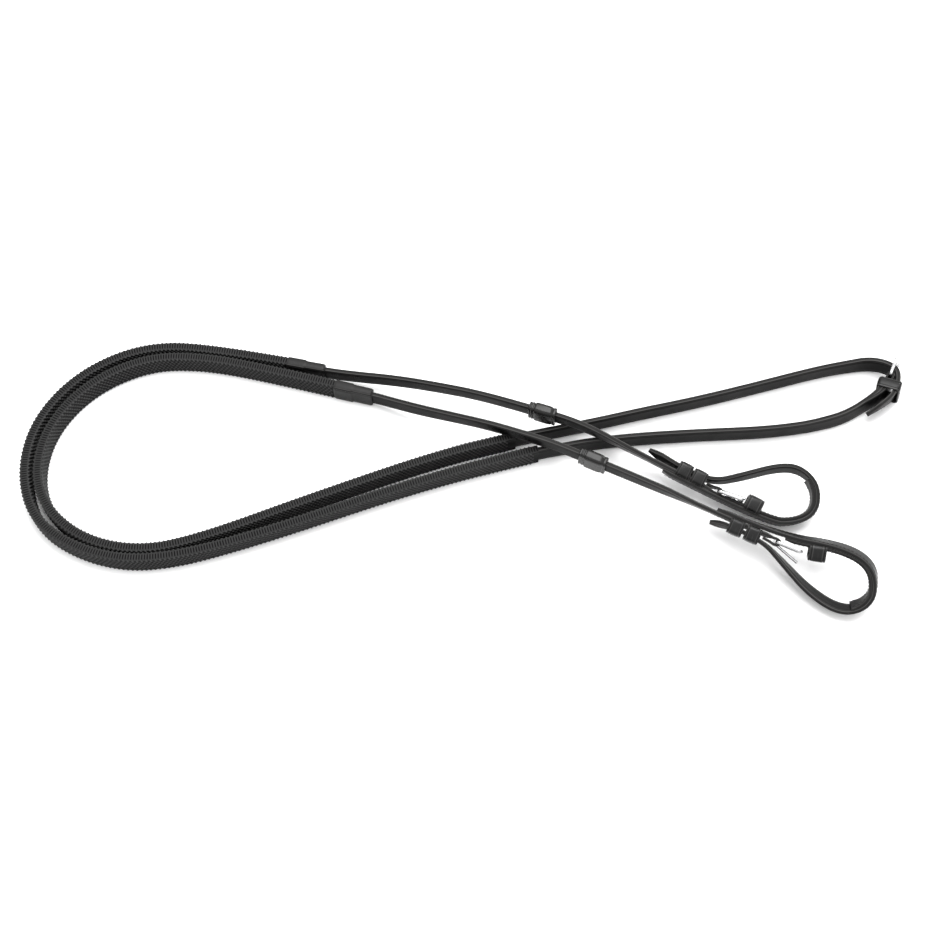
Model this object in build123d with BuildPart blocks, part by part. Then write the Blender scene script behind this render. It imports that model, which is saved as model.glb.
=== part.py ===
"""A pair of leather riding reins with rubber grips, laid out on a table.

The straps stand on their edges, so the plan view shows their thickness. The near rein ends in
the buckle at the centre join and the off rein ends in the pointed billet that passes through it.
Units are millimetres and degrees. The origin is the middle of the layout, on the table.
"""
import os
from math import atan2, cos, hypot, radians, sin, tan

from build123d import *

# ---------------------------------------------------------------- driving dimensions
HAND_WIDTH = 16.0  # strap inside the grip and up to the centre join
HAND_THICKNESS = 3.6
FRONT_WIDTH = 12.7  # strap from the grip to the bit, and every layer of the bit end
FRONT_THICKNESS = 3.6
BILLET_THICKNESS = 3.2
LINER_THICKNESS = 2.8
GRIP_WIDTH = 18.0
GRIP_THICKNESS = 6.6
COVER_THICKNESS = 8.4
COVER_LENGTH = 31.0
LAYER_GAP = 0.05  # between two leather layers that are sewn together
WIRE = 2.4  # square wire of a buckle frame, with rounded corners
WIRE_ROUND = 0.95
HINGE_CLEARANCE = 0.3  # between a buckle bar and what turns on it
CHAPE_WALL = 1.7  # leather round a buckle bar
BIT_BUCKLE_LENGTH = 18.5  # from the bar to the far side, centre to centre
CENTRE_BUCKLE_LENGTH = 15.5
BUCKLE_SIDE_GAP = 0.45  # between a strap's edge and the frame's side
TONGUE_RADIUS = 1.0
TONGUE_RING_WALL = 1.2
TONGUE_RING_HEIGHT = 2.6
TONGUE_SLOT_GAP = 0.4
KEEPER_WALL = 1.2
KEEPER_EDGE_GAP = 0.25  # between a strap's edge and the keeper
REAR_KEEPER_LENGTH = 10.4
REAR_KEEPER_REACH = 7.8  # inside of the keeper, above the middle of the front strap
FRONT_KEEPER_LENGTH = 12.0
FRONT_KEEPER_REACH = 9.2  # inside of the open keeper, above the back of the liner
CENTRE_KEEPER_LENGTH = 9.0
STOP_LENGTH = 22.0
STOP_WALL = 2.2
STOP_CLEARANCE = 0.4
STOP_COLLAR_LENGTH = 5.0
STOP_COLLAR_STEP = 0.9
STOP_RIM_LENGTH = 3.0
HOLE_RADIUS = 1.6
CENTRE_HOLE_RADIUS = 2.0
POINT_LENGTH = 11.0  # tapered tip of a billet
LAYOUT_SHIFT = (2.6, 6.3)  # brings the middle of the layout to the origin

# ---------------------------------------------------------------- the layout on the table
# Grip routes start at the front of the end cover and end at the back of the grip.
NEAR_GRIP_ROUTE = [
    (-116, 83.8), (-210, 103.5), (-262, 103.5), (-308, 79), (-337, 38), (-342, -8),
    (-326, -50), (-284, -75), (-236, -81), (-165, -60.5), (-40, -13), (50, 12),
]
OFF_GRIP_ROUTE = [
    (-78, 61.5), (-168, 85), (-216, 94.5), (-258, 93.5), (-300, 71), (-326, 35),
    (-332, -5), (-320, -38), (-288, -64), (-245, -73), (-200, -62), (-125, -31),
    (-30, 6), (33, 23.5),
]
GRIP_MIDDLE = GRIP_WIDTH / 2
# Free stretches as stations: x, y, height of the strap's middle, lean of its top to the right.
# All heights in this layout are written for these two widths, and rise with wider straps.
WRITTEN_GRIP_WIDTH = 18.0
WRITTEN_FRONT_WIDTH = 12.7
NEAR_HAND_STATIONS = [
    (50, 12, 9, 0), (67, 15.2, 9, 0), (83, 18.6, 9, 0), (98, 21, 9, 0), (130, 24.8, 9, 0),
    (176, 27.9, 9, 0), (222, 30, 9, 0), (254, 34, 9, 0), (272, 38.2, 9, -3), (287, 42.8, 9, -6),
]
OFF_HAND_STATIONS = [
    (33, 23.5, 9, 0), (68, 31.5, 9, 0), (99, 38.6, 9, 0), (130, 46.5, 9, 0), (162, 53.8, 9, 0),
    (194, 62, 9, 0), (226, 71, 9, 0), (258, 80.3, 9, 0), (278, 85.6, 9, 0), (295, 89.2, 9, 0),
]
NEAR_FRONT_STATIONS = [
    (-116, 83.8, 9, 0), (-92, 79.6, 10, 0), (-60, 74, 13.5, 0), (-28, 65.6, 18, 3),
    (8, 54, 24.2, 8), (66, 33.4, 26.3, 8), (82, 27, 26.1, 12), (97, 20.2, 24.6, 16),
    (112, 13.2, 21.6, 19),
]
OFF_FRONT_STATIONS = [
    (-78, 61.5, 9, 0), (-60, 54.6, 11.2, 0), (-40, 46.8, 14.5, 0), (-10, 36, 20.5, 4),
    (6, 30.2, 23.6, 6), (22, 24.6, 25.2, 8), (55, 13.2, 25.2, 10), (72, 6.2, 24.9, 12),
    (140, -25, 23, 12), (155, -32, 22.3, 18),
]
# The rein stop's place: the straight stretch's two stations and the share of the way along.
NEAR_STOP_STRETCH = (4, 5, 0.79)
OFF_STOP_STRETCH = (7, 8, 0.27)

# Each bit end lies in a tilted plane of its own: x runs along the strap and y points to the
# inside of the loop. The billet's route starts where it is sewn on and ends at the tip.
BILLET_LAYER = -(FRONT_THICKNESS + BILLET_THICKNESS) / 2 - LAYER_GAP
NEAR_BIT = {
    "origin": (127, 6, 18.6), "heading": -27.5, "drop": 6, "lean": 20, "side": 1,
    "route": [
        (21, BILLET_LAYER), (108, BILLET_LAYER), (128.5, 7.5), (137, 22), (129, 39.5),
        (112, 45), (97, 39), (75, 19), (58.5, 6), (30, 4.3), (5, 6.4),
    ],
    "liner_end_run": 4, "bar": 65.5, "tilt": 6, "tongue_open": 0,
    "rear_keeper": 30.5, "middle_keeper": 42.7, "front_keeper": (0, 0.83),
}
OFF_BIT = {
    "origin": (169, -39, 21.9), "heading": -26, "drop": 2, "lean": 24, "side": -1,
    "route": [
        (13, BILLET_LAYER), (60, BILLET_LAYER), (106, -16), (131, -13), (141.5, 5), (137, 20),
        (122, 28.5), (97, 24.5), (70, 12.5), (54, 5.6), (26, 4.3), (11.5, 8),
    ],
    "liner_end_run": 5, "bar": 62, "tilt": -2, "tongue_open": 17,
    "rear_keeper": 25.5, "middle_keeper": 38.7, "front_keeper": (1, 0.64),
}
# The centre join's own plane: x runs along the near rein to the bar and beyond, y to the left.
CENTRE_JOIN = {"origin": (329.1, 75.2, 11.8), "heading": 66, "drop": 0, "lean": -9, "side": 1}
CENTRE_BAR = (0.0, 1.0)
CENTRE_TONGUE_SIDE = -1
NEAR_END_ROUTE = [(-34, 15.6), (-15, 4.5), (0, 2.9)]
OFF_END_ROUTE = [(9.5, 22), (11.5, 9), (8.5, -2), (-1, -6.0), (-12, -5.8), (-22, -1.5), (-36, 8)]
CHAPE_RETURN = (-28.0, 2.4)  # where the folded end stops, and its thickness
CENTRE_KEEPER = (-13.5, -8.2, 7.0)  # start, and the inside's lowest and highest y


# ---------------------------------------------------------------- routes and planes
def placed(x, y):
    return (x + LAYOUT_SHIFT[0], y + LAYOUT_SHIFT[1])


def height(z):
    """A written height, raised so that the front straps still clear the table and the grips."""
    over = min(max(2 * z / WRITTEN_GRIP_WIDTH - 1, 0), 1)
    return (z + (GRIP_WIDTH - WRITTEN_GRIP_WIDTH) * min(z / WRITTEN_GRIP_WIDTH, 1)
            + (FRONT_WIDTH - WRITTEN_FRONT_WIDTH) / 2 * over)


def run_angle(start, end):
    return atan2(end[1] - start[1], end[0] - start[0])


def turns(points):
    """The signed turn at each inner point, positive to the left."""
    found = []
    for before, here, after in zip(points, points[1:], points[2:]):
        turn = run_angle(here, after) - run_angle(before, here)
        found.append((turn + radians(180)) % radians(360) - radians(180))
    return found


def arc_radii(points):
    """Arcs as large as their two runs allow."""
    radii = []
    for before, here, after, turn in zip(points, points[1:], points[2:], turns(points)):
        shorter = min(hypot(here[0] - before[0], here[1] - before[1]),
                      hypot(after[0] - here[0], after[1] - here[1]))
        radii.append(0.45 * shorter / tan(abs(turn) / 2))
    return radii


def side_line(points, radii, offset):
    """The route moved to its left by the offset, with arcs about the same centres."""
    moved = []
    last = len(points) - 1
    for index, point in enumerate(points):
        before = run_angle(points[max(index - 1, 0)], points[max(index, 1)])
        after = run_angle(points[min(index, last - 1)], points[min(index + 1, last)])
        reach = offset / cos((after - before) / 2)
        middle = (before + after) / 2
        moved.append((point[0] - reach * sin(middle), point[1] + reach * cos(middle)))
    new_radii = [radius - offset if turn > 0 else radius + offset
                 for radius, turn in zip(radii, turns(points))]
    return moved, new_radii


def rounded_line(points, radii):
    """Straight runs joined by tangent arcs, on the current line."""
    start = points[0]
    for here, after, radius, turn in zip(points[1:], points[2:], radii, turns(points)):
        reach = radius * tan(abs(turn) / 2)
        first, last = along(here, start, reach), along(here, after, reach)
        chord_middle = middle_of(first, last)
        inset = radius / cos(turn / 2) - radius
        Line(start, first)
        ThreePointArc(first, along(here, chord_middle, inset), last)
        start = last
    Line(start, points[-1])


def band(plane, points, radii, right, left, height):
    """A strip between two offsets from a route, standing on both sides of the plane."""
    with BuildSketch(plane) as profile:
        with BuildLine():
            outlines = []
            for offset in (right, left):
                moved, new_radii = side_line(points, radii, offset)
                rounded_line(moved, new_radii)
                outlines.append(moved)
            Line(outlines[0][0], outlines[1][0])
            Line(outlines[0][-1], outlines[1][-1])
        make_face()
    extrude(profile.sketch, amount=height / 2, both=True)


def along(start, end, distance):
    angle = run_angle(start, end)
    return (start[0] + distance * cos(angle), start[1] + distance * sin(angle))


def middle_of(start, end):
    return ((start[0] + end[0]) / 2, (start[1] + end[1]) / 2)


def up_vector(forward, lean):
    """The strap's width direction: upright, then leaned about the way it runs."""
    side = Vector(-forward.Y, forward.X, 0).normalized()
    upright = forward.cross(side)
    return upright * cos(radians(lean)) - side * sin(radians(lean))


def strap_plane(layout):
    heading, drop = radians(layout["heading"]), radians(layout["drop"])
    forward = Vector(cos(heading) * cos(drop), sin(heading) * cos(drop), -sin(drop))
    up = up_vector(forward, layout["lean"]) * layout["side"]
    x, y, z = layout["origin"]
    return Plane(origin=(*placed(x, y), height(z)), x_dir=forward, z_dir=up)


def station_point(station):
    return Vector(*placed(station[0], station[1]), height(station[2]))


def section_plane(origin, forward, up):
    return Plane(origin=origin, x_dir=up.cross(forward), z_dir=forward)


def section_planes(stations, first_heading, end_plane, end_point, end_heading):
    """Planes across the strap at each station, and last where it meets end_plane."""
    end = end_plane.from_local_coords(Vector(*end_point, 0))
    points = [station_point(station) for station in stations] + [end]
    planes = []
    for index, station in enumerate(stations):
        forward = Vector(cos(first_heading), sin(first_heading), 0)
        if index > 0:
            arriving = (points[index] - points[index - 1]).normalized()
            leaving = (points[index + 1] - points[index]).normalized()
            forward = (arriving + leaving).normalized()
        planes.append(section_plane(points[index], forward, up_vector(forward, station[3])))
    forward = end_plane.x_dir * cos(end_heading) + end_plane.y_dir * sin(end_heading)
    up = end_plane.z_dir if end_plane.z_dir.Z > 0 else end_plane.z_dir * -1
    return planes + [section_plane(end, forward, up)]


def strap_run(planes, thickness, width):
    """A strap through a row of section planes, straight between them."""
    sections = []
    for plane in planes:
        with BuildSketch(plane) as section:
            Rectangle(thickness, width)
        sections.append(section.sketch)
    loft(sections, ruled=True)


def slab(plane, x_range, y_range, height, mode=Mode.ADD):
    """A box on both sides of the plane, given in the plane's own x and y."""
    with BuildSketch(plane) as profile:
        with Locations((sum(x_range) / 2, sum(y_range) / 2)):
            Rectangle(x_range[1] - x_range[0], y_range[1] - y_range[0])
    extrude(profile.sketch, amount=height / 2, both=True, mode=mode)


def disc(plane, centre, radius, height, mode=Mode.ADD):
    with BuildSketch(plane) as profile:
        with Locations(centre):
            Circle(radius)
    extrude(profile.sketch, amount=height / 2, both=True, mode=mode)


def rod(start, end, radius, mode=Mode.ADD):
    with BuildSketch(Plane(origin=start, z_dir=end - start)) as profile:
        Circle(radius)
    extrude(profile.sketch, amount=(end - start).length, mode=mode)


def finish(name, builder):
    builder.part.label = name
    export_step(builder.part, f"parts/{name}.step")
    print(f"{name}: volume {builder.part.volume:.0f}")
    return builder.part


# ---------------------------------------------------------------- buckles and keepers
BAR_HOLE = WIRE / 2 + 0.1 + HINGE_CLEARANCE
CHAPE_RADIUS = BAR_HOLE + CHAPE_WALL
TONGUE_RING = BAR_HOLE + TONGUE_RING_WALL
TONGUE_SLOT = TONGUE_RING_HEIGHT + 2 * TONGUE_SLOT_GAP


def bar_plane(plane, bar, tilt):
    """A plane at the buckle's bar: x along the frame, z along the bar."""
    forward = plane.x_dir * cos(radians(tilt)) + plane.y_dir * sin(radians(tilt))
    return Plane(origin=plane.from_local_coords(Vector(*bar, 0)), x_dir=forward,
                 z_dir=plane.z_dir)


def buckle_frame(name, hinge, length, strap_width):
    """A rounded rectangle of wire whose near side is the bar."""
    rail = strap_width / 2 + BUCKLE_SIDE_GAP + WIRE / 2
    face = Plane(origin=hinge.origin, x_dir=hinge.x_dir, z_dir=hinge.y_dir)
    with BuildPart() as frame:
        with BuildSketch(face):
            with Locations((length / 2, 0)):
                RectangleRounded(length + WIRE, 2 * rail + WIRE, radius=WIRE + 0.8)
                RectangleRounded(length - WIRE, 2 * rail - WIRE, radius=1.2, mode=Mode.SUBTRACT)
        extrude(amount=WIRE / 2, both=True)
        fillet(frame.edges(), WIRE_ROUND)
    return finish(name, frame)


def tongue_line(hinge, length, side):
    """The middle of the tongue's pin, from its ring to past the far side of the frame."""
    root = TONGUE_RING * cos(radians(45)) * 0.9
    rest = WIRE / 2 + HINGE_CLEARANCE + TONGUE_RADIUS
    return (hinge.from_local_coords(Vector(root, side * root, 0)),
            hinge.from_local_coords(Vector(length + WIRE, side * rest, 0)))


def buckle_tongue(name, hinge, length, side):
    """A ring on the bar and a pin that rests on the far side of the frame."""
    start, end = tongue_line(hinge, length, side)
    with BuildPart() as tongue:
        disc(hinge, (0, 0), TONGUE_RING, TONGUE_RING_HEIGHT)
        rod(start, end, TONGUE_RADIUS)
        tip = tongue.edges().filter_by(GeomType.CIRCLE).sort_by_distance(end)[0]
        fillet(tip, 0.6 * TONGUE_RADIUS)
        disc(hinge, (0, 0), BAR_HOLE, TONGUE_RING_HEIGHT + 1, Mode.SUBTRACT)
    return finish(name, tongue)


def keeper(name, plane, start, length, low, high, strap_width, rounding=1.8):
    """A leather loop round a strap, open along the plane's x."""
    inside = strap_width + 2 * KEEPER_EDGE_GAP
    middle = plane.from_local_coords(Vector(start, (low + high) / 2, 0))
    with BuildPart() as loop:
        with BuildSketch(Plane(origin=middle, x_dir=plane.y_dir, z_dir=plane.x_dir)):
            RectangleRounded(high - low + 2 * KEEPER_WALL, inside + 2 * KEEPER_WALL,
                             radius=rounding)
            RectangleRounded(high - low, inside, radius=rounding - KEEPER_WALL,
                             mode=Mode.SUBTRACT)
        extrude(amount=length)
    return finish(name, loop)


# ---------------------------------------------------------------- leather and rubber
def grip_layout(route):
    """The route, its radii, and the same route without the end cover's length."""
    radii = arc_radii(route)
    print("grip route radii:", " ".join(f"{radius:.0f}" for radius in radii))
    return route, radii, [along(route[0], route[1], COVER_LENGTH)] + route[1:]


def placed_route(points):
    return [placed(*point) for point in points]


def hand_core(route, radii):
    """The hand strap inside the grip, up to the middle of the end cover."""
    core = [along(route[0], route[1], COVER_LENGTH / 2)] + route[1:]
    half = HAND_THICKNESS / 2
    band(Plane.XY.offset(GRIP_MIDDLE), core, radii, -half, half, HAND_WIDTH)


def near_hand_strap(route, radii, join):
    heading = run_angle(NEAR_END_ROUTE[0], NEAR_END_ROUTE[1])
    planes = section_planes(NEAR_HAND_STATIONS, run_angle(route[-2], route[-1]), join,
                            NEAR_END_ROUTE[0], heading)
    half = HAND_THICKNESS / 2
    end_radii = arc_radii(NEAR_END_ROUTE)
    return_end, return_thickness = CHAPE_RETURN
    outside = -half - LAYER_GAP
    with BuildPart() as strap:
        hand_core(route, radii)
        strap_run(planes, HAND_THICKNESS, HAND_WIDTH)
        band(join, NEAR_END_ROUTE, end_radii, -half, half, HAND_WIDTH)
        share = (return_end - NEAR_END_ROUTE[0][0]) / (NEAR_END_ROUTE[1][0] - NEAR_END_ROUTE[0][0])
        start_y = NEAR_END_ROUTE[0][1] + share * (NEAR_END_ROUTE[1][1] - NEAR_END_ROUTE[0][1])
        band(join, [(return_end, start_y)] + NEAR_END_ROUTE[1:], end_radii,
             outside - return_thickness, outside, HAND_WIDTH)
        disc(join, CENTRE_BAR, CHAPE_RADIUS, HAND_WIDTH)
        disc(join, CENTRE_BAR, BAR_HOLE, HAND_WIDTH + 1, Mode.SUBTRACT)
        disc(join, CENTRE_BAR, CHAPE_RADIUS + 0.2, TONGUE_SLOT, Mode.SUBTRACT)
    return finish("near_hand_strap", strap)


def off_hand_strap(route, radii, join, tongue_start, tongue_end):
    heading = run_angle(OFF_END_ROUTE[0], OFF_END_ROUTE[1])
    planes = section_planes(OFF_HAND_STATIONS, run_angle(route[-2], route[-1]), join,
                            OFF_END_ROUTE[0], heading)
    half = HAND_THICKNESS / 2
    with BuildPart() as strap:
        hand_core(route, radii)
        strap_run(planes, HAND_THICKNESS, HAND_WIDTH)
        band(join, OFF_END_ROUTE, arc_radii(OFF_END_ROUTE), -half, half, HAND_WIDTH)
        rod(tongue_start, tongue_end, CENTRE_HOLE_RADIUS, Mode.SUBTRACT)
        point_tip(join, OFF_END_ROUTE, HAND_THICKNESS, HAND_WIDTH)
        punch_run(join, OFF_END_ROUTE, 5, (0.35,), HAND_THICKNESS)
    return finish("off_hand_strap", strap)


def point_tip(plane, route, thickness, width):
    """Cuts the two corners off a billet's end, so that it is pointed."""
    tip, before = route[-1], route[-2]
    inward = Vector(before[0] - tip[0], before[1] - tip[1], 0).normalized()
    across = Vector(-inward.Y, inward.X, 0)
    origin = plane.from_local_coords(Vector(*tip, 0))
    x_dir = plane.x_dir * inward.X + plane.y_dir * inward.Y
    normal = plane.x_dir * across.X + plane.y_dir * across.Y
    face = Plane(origin=origin, x_dir=x_dir, z_dir=normal)
    half, blunt = width / 2, width / 8
    for side in (1, -1):
        with BuildSketch(face) as corner:
            with BuildLine():
                Polyline((-1, side * blunt), (0, side * blunt), (POINT_LENGTH, side * half),
                         (POINT_LENGTH, side * (half + 1)), (-1, side * (half + 1)), close=True)
            make_face()
        extrude(corner.sketch, amount=1.5 * thickness, both=True, mode=Mode.SUBTRACT)


def punch_run(plane, route, run, shares, thickness):
    """Holes punched straight through one run of a billet."""
    start, end = Vector(*route[run], 0), Vector(*route[run + 1], 0)
    forward = (end - start).normalized()
    across = Vector(-forward.Y, forward.X, 0)
    for share in shares:
        middle = start + (end - start) * share
        rod(plane.from_local_coords(middle - across * thickness),
            plane.from_local_coords(middle + across * thickness), HOLE_RADIUS, Mode.SUBTRACT)


def front_strap(name, stations, route, bit, plane, keepers):
    """From the middle of the end cover to the fold round the bit buckle's bar."""
    planes = section_planes(stations, run_angle(route[1], route[0]), plane, (0, 0), 0)
    start = along(route[0], route[1], COVER_LENGTH / 2)
    half = FRONT_THICKNESS / 2
    bar = (bit["bar"], CHAPE_RADIUS - half)
    with BuildPart() as strap:
        band(Plane.XY.offset(GRIP_MIDDLE), [start, route[0]], [], -half, half, FRONT_WIDTH)
        strap_run(planes, FRONT_THICKNESS, FRONT_WIDTH)
        slab(plane, (0, bar[0]), (-half, half), FRONT_WIDTH)
        disc(plane, bar, CHAPE_RADIUS, FRONT_WIDTH)
        disc(plane, bar, BAR_HOLE, FRONT_WIDTH + 1, Mode.SUBTRACT)
        disc(plane, bar, CHAPE_RADIUS + 0.2, TONGUE_SLOT, Mode.SUBTRACT)
        for loop in keepers:
            add(loop, mode=Mode.SUBTRACT)
    return finish(name, strap)


def bit_billet(name, plane, route):
    half = BILLET_THICKNESS / 2
    radii = arc_radii(route)
    print("billet route radii:", " ".join(f"{radius:.0f}" for radius in radii))
    with BuildPart() as billet:
        band(plane, route, radii, -half, half, FRONT_WIDTH)
        point_tip(plane, route, BILLET_THICKNESS, FRONT_WIDTH)
        punch_run(plane, route, len(route) - 3, (0.3, 0.65), BILLET_THICKNESS)
    return finish(name, billet)


def bit_liner(name, plane, route, bit, loop):
    """The inner layer, from the buckle round most of the loop."""
    last_run = bit["liner_end_run"]
    liner_route = route[:last_run + 1] + [middle_of(route[last_run], route[last_run + 1])]
    inside = BILLET_THICKNESS / 2 + LAYER_GAP
    with BuildPart() as liner:
        band(plane, liner_route, arc_radii(route)[:last_run], inside, inside + LINER_THICKNESS,
             FRONT_WIDTH)
        slab(plane, (0, bit["bar"] + CHAPE_RADIUS + 0.6), (-20, 5), FRONT_WIDTH + 1,
             Mode.SUBTRACT)
        add(loop, mode=Mode.SUBTRACT)
    return finish(name, liner)


def front_keeper(name, plane, route, bit):
    """The open loop sewn on the liner, on a straight run of the billet's route."""
    run, share = bit["front_keeper"]
    start, end = route[run], route[run + 1]
    angle = run_angle(start, end)
    length = hypot(end[0] - start[0], end[1] - start[1])
    middle = along(start, end, share * length)
    forward = plane.x_dir * cos(angle) + plane.y_dir * sin(angle)
    seat = Plane(origin=plane.from_local_coords(Vector(*middle, 0)), x_dir=forward,
                 z_dir=plane.z_dir)
    back = BILLET_THICKNESS / 2 + LAYER_GAP + KEEPER_WALL
    return keeper(name, seat, -FRONT_KEEPER_LENGTH / 2, FRONT_KEEPER_LENGTH, back,
                  back + FRONT_KEEPER_REACH, FRONT_WIDTH, 2.6)


def grip(name, grip_route, radii, core):
    half = GRIP_THICKNESS / 2
    with BuildPart() as sleeve:
        band(Plane.XY.offset(GRIP_MIDDLE), grip_route, radii, -half, half, GRIP_WIDTH)
        add(core, mode=Mode.SUBTRACT)
    return finish(name, sleeve)


def end_cover(name, route, inner_straps):
    half = COVER_THICKNESS / 2
    line = [route[0], along(route[0], route[1], COVER_LENGTH)]
    with BuildPart() as cover:
        band(Plane.XY.offset(GRIP_MIDDLE), line, [], -half, half, GRIP_WIDTH)
        for strap in inner_straps:
            add(strap, mode=Mode.SUBTRACT)
    return finish(name, cover)


def rein_stop(name, stations, stretch):
    """A rubber block with a flat slot that slides on the front strap."""
    first, last, share = stretch
    start, end = station_point(stations[first]), station_point(stations[last])
    forward = (end - start).normalized()
    middle = start + (end - start) * share
    back = middle - forward * (STOP_LENGTH / 2)
    up = up_vector(forward, stations[first][3])
    slot = (FRONT_THICKNESS + 2 * STOP_CLEARANCE, FRONT_WIDTH + 2 * STOP_CLEARANCE)
    body_start = STOP_COLLAR_LENGTH
    rim_start = STOP_LENGTH - STOP_RIM_LENGTH
    pieces = [(0, body_start, STOP_WALL - STOP_COLLAR_STEP), (body_start, rim_start, STOP_WALL),
              (rim_start, STOP_LENGTH, STOP_WALL - STOP_COLLAR_STEP / 2)]
    with BuildPart() as stop:
        for low, high, wall in pieces:
            plane = section_plane(back + forward * low, forward, up)
            with BuildSketch(plane) as section:
                RectangleRounded(slot[0] + 2 * wall, slot[1] + 2 * wall, radius=wall * 0.9)
            extrude(section.sketch, amount=high - low)
        with BuildSketch(section_plane(back - forward, forward, up)) as hollow:
            Rectangle(*slot)
        extrude(hollow.sketch, amount=STOP_LENGTH + 2, mode=Mode.SUBTRACT)
    return finish(name, stop)


# ---------------------------------------------------------------- the two reins
def bit_end(rein, stations, grip_route, bit):
    plane = strap_plane(bit)
    route = bit["route"]
    wall_low = -FRONT_THICKNESS / 2 + KEEPER_WALL
    keepers = [keeper(f"{rein}_bit_{place}_keeper", plane, bit[f"{place}_keeper"],
                      REAR_KEEPER_LENGTH, wall_low, REAR_KEEPER_REACH, FRONT_WIDTH)
               for place in ("rear", "middle")]
    loop = front_keeper(f"{rein}_bit_front_keeper", plane, route, bit)
    strap = front_strap(f"{rein}_front_strap", stations, grip_route, bit, plane, keepers)
    bit_billet(f"{rein}_bit_billet", plane, route)
    bit_liner(f"{rein}_bit_liner", plane, route, bit, loop)
    bar = (bit["bar"], CHAPE_RADIUS - FRONT_THICKNESS / 2)
    buckle_frame(f"{rein}_bit_buckle_frame", bar_plane(plane, bar, bit["tilt"]),
                 BIT_BUCKLE_LENGTH, FRONT_WIDTH)
    buckle_tongue(f"{rein}_bit_buckle_tongue",
                  bar_plane(plane, bar, bit["tilt"] + bit["tongue_open"]),
                  BIT_BUCKLE_LENGTH, 1)
    return strap


def main():
    os.makedirs("parts", exist_ok=True)
    join = strap_plane(CENTRE_JOIN)
    hinge = bar_plane(join, CENTRE_BAR, 0)
    near_route, near_radii, near_grip_route = grip_layout(placed_route(NEAR_GRIP_ROUTE))
    off_route, off_radii, off_grip_route = grip_layout(placed_route(OFF_GRIP_ROUTE))

    near_hand = near_hand_strap(near_route, near_radii, join)
    tongue_start, tongue_end = tongue_line(hinge, CENTRE_BUCKLE_LENGTH, CENTRE_TONGUE_SIDE)
    off_hand = off_hand_strap(off_route, off_radii, join, tongue_start, tongue_end)
    grip("near_grip", near_grip_route, near_radii, near_hand)
    grip("off_grip", off_grip_route, off_radii, off_hand)

    near_front = bit_end("near", NEAR_FRONT_STATIONS, near_route, NEAR_BIT)
    off_front = bit_end("off", OFF_FRONT_STATIONS, off_route, OFF_BIT)
    end_cover("near_grip_end_cover", near_route, (near_hand, near_front))
    end_cover("off_grip_end_cover", off_route, (off_hand, off_front))
    rein_stop("near_rein_stop", NEAR_FRONT_STATIONS, NEAR_STOP_STRETCH)
    rein_stop("off_rein_stop", OFF_FRONT_STATIONS, OFF_STOP_STRETCH)

    buckle_frame("centre_buckle_frame", hinge, CENTRE_BUCKLE_LENGTH, HAND_WIDTH)
    buckle_tongue("centre_buckle_tongue", hinge, CENTRE_BUCKLE_LENGTH, CENTRE_TONGUE_SIDE)
    start, low, high = CENTRE_KEEPER
    keeper("centre_keeper", join, start, CENTRE_KEEPER_LENGTH, low, high, HAND_WIDTH)


main()
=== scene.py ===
# %% [markdown]
# # A pair of leather riding reins with rubber grips
# The straps stand on their edges on a pale floor. Each rein is a hand strap inside a long rubber
# grip, then a narrower front strap with a sliding rein stop, then a billet that loops back through
# keepers and a buckle. The CAD model gives every place. This script gives the pieces their looks.

# %% Load the CAD frame
from bisect import bisect_right
from math import copysign, cos, pi, radians, sin

import bmesh
import bpy
from mathutils import Matrix, Vector


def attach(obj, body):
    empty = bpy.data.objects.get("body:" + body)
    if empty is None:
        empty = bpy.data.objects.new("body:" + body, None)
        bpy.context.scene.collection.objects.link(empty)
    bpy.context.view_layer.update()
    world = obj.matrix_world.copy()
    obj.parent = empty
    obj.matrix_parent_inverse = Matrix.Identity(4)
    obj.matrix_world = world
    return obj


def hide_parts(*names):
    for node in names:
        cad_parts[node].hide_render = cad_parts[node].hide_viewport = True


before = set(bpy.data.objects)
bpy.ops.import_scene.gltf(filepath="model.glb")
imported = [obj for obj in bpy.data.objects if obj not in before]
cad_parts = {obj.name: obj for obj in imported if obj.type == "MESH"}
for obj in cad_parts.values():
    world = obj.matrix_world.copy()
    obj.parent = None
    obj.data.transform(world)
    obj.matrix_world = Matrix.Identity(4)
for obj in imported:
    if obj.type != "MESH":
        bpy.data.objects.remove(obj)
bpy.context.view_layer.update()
MM = 0.001

# %% [markdown]
# ## Camera
# The reins are seen from well above, square to their length. A camera close to them would make the
# straps in front look much wider than those behind. So it stands 1.1 m away, and the lens is then
# worked out from the width that it should see.

# %% Camera
LAYOUT_SHIFT = Vector((2.6, 6.3, 0.0))  # the same shift as in the part's source
CAMERA_HEIGHT_ANGLE = radians(63)
CAMERA_DISTANCE = 1.1
SEEN_WIDTH = 0.7277  # width of the view at that distance
SENSOR_WIDTH = 36

aim = LAYOUT_SHIFT * MM
towards_camera = Vector((0, -cos(CAMERA_HEIGHT_ANGLE), sin(CAMERA_HEIGHT_ANGLE)))
camera = bpy.data.objects.new("camera", bpy.data.cameras.new("camera"))
bpy.context.scene.collection.objects.link(camera)
camera.location = aim + towards_camera * CAMERA_DISTANCE
camera.rotation_mode = "QUATERNION"
camera.rotation_quaternion = (-towards_camera).to_track_quat("-Z", "Y")
camera.data.sensor_width = SENSOR_WIDTH
camera.data.lens = SENSOR_WIDTH * CAMERA_DISTANCE / SEEN_WIDTH
bpy.context.scene.camera = camera
print("lens:", round(camera.data.lens, 1), "mm")
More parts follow.
